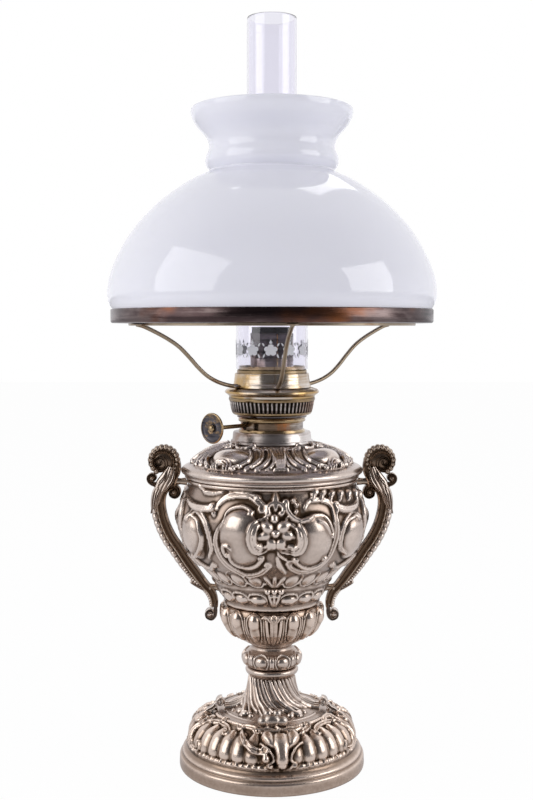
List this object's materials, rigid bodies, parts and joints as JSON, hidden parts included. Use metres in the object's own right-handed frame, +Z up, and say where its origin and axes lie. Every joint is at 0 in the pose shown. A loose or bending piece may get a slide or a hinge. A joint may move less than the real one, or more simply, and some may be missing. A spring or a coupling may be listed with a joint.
{
  "type": "kerosene lamp",
  "caption": "Table lamp for kerosene: silvered urn on a round ornamented foot, scrolled handles, wick burner, glass chimney and opal dome shade on a wire-legged ring.",
  "frame": {"origin": "middle of the foot's underside, on the table", "axes": "+Z up the lamp's axis to the chimney's top, +X through the right handle, -Y is the pictured front"},
  "size_m": [0.242, 0.242, 0.5534],
  "materials": {
    "silvered_casting": "silvered cast metal, warm grey with brown hollows, soft polish",
    "bronzed_casting": "brown patinated casting and wire",
    "burner_brass": "worn silvered brass with copper stains",
    "dark_copper": "oxidised copper with heat tints",
    "knob_bronze": "blue-grey patinated bronze",
    "iron": "dark iron",
    "tinplate": "dull tinned sheet",
    "wick_cotton": "woven cotton, charred at the top",
    "clear_glass": "clear glass",
    "opal_glass": "opal white glass, high gloss, hardly see-through"
  },
  "bodies": {
    "urn_and_foot": {"foot_casting": "silvered_casting", "ballast_plate": "iron", "stem_casting": "silvered_casting", "knop": "silvered_casting", "lower_cup": "silvered_casting", "urn_body": "silvered_casting", "tie_rod": "iron", "tie_rod_lower_nut": "iron", "tie_rod_washer": "iron", "tie_rod_upper_nut": "iron", "right_handle": "bronzed_casting", "left_handle": "bronzed_casting", "right_handle_lower_screw": "iron", "left_handle_lower_screw": "iron", "right_handle_upper_screw": "iron", "left_handle_upper_screw": "iron"},
    "font": {"oil_font": "tinplate", "font_cover": "silvered_casting", "burner_collar": "silvered_casting"},
    "burner": {"burner_neck": "burner_brass", "wick_tube": "burner_brass", "draught_tube": "burner_brass", "air_basket": "burner_brass", "gallery_flange": "burner_brass", "chimney_gallery": "burner_brass"},
    "winder": {"winder_spindle": "burner_brass", "winder_wheel_inner": "burner_brass", "winder_wheel_outer": "burner_brass", "winder_knob": "knob_bronze", "knob_cap_nut": "burner_brass"},
    "wick": {"wick": "wick_cotton"},
    "shade_holder": {"holder_collar": "burner_brass", "holder_leg_front": "bronzed_casting", "holder_leg_right": "bronzed_casting", "holder_leg_left": "bronzed_casting", "shade_ring": "dark_copper"},
    "chimney": {"glass_chimney": "clear_glass"},
    "shade": {"opal_shade": "opal_glass"}
  },
  "joints": [
    {"name": "font_lift", "type": "slide", "parent": "urn_and_foot", "child": "font", "axis": [0, 0, 1], "range_m": [0, 0.11]},
    {"name": "burner_unscrew", "type": "hinge", "parent": "font", "child": "burner", "pos_m": [0, 0, 0.2514], "axis": [0, 0, 1], "range_deg": [0, 360]},
    {"name": "winder_turn", "type": "hinge", "parent": "burner", "child": "winder", "pos_m": [-0.00461, 0.0043, 0.2563], "axis": [-0.682, -0.7314, 0], "range_deg": [-170, 114]},
    {"name": "wick_rise", "type": "slide", "parent": "burner", "child": "wick", "axis": [0, 0, 1], "range_m": [-0.016, 0.011]},
    {"name": "shade_holder_lift", "type": "slide", "parent": "burner", "child": "shade_holder", "axis": [0, 0, 1], "range_m": [0, 0.06]},
    {"name": "chimney_lift", "type": "slide", "parent": "shade_holder", "child": "chimney", "axis": [0, 0, 1], "range_m": [0, 0.2]},
    {"name": "shade_lift", "type": "slide", "parent": "shade_holder", "child": "shade", "axis": [0, 0, 1], "range_m": [0, 0.225]}
  ],
  "couplings": [
    {"joint": "wick_rise", "follows": "winder_turn", "m_per_rad": 0.005}
  ]
}
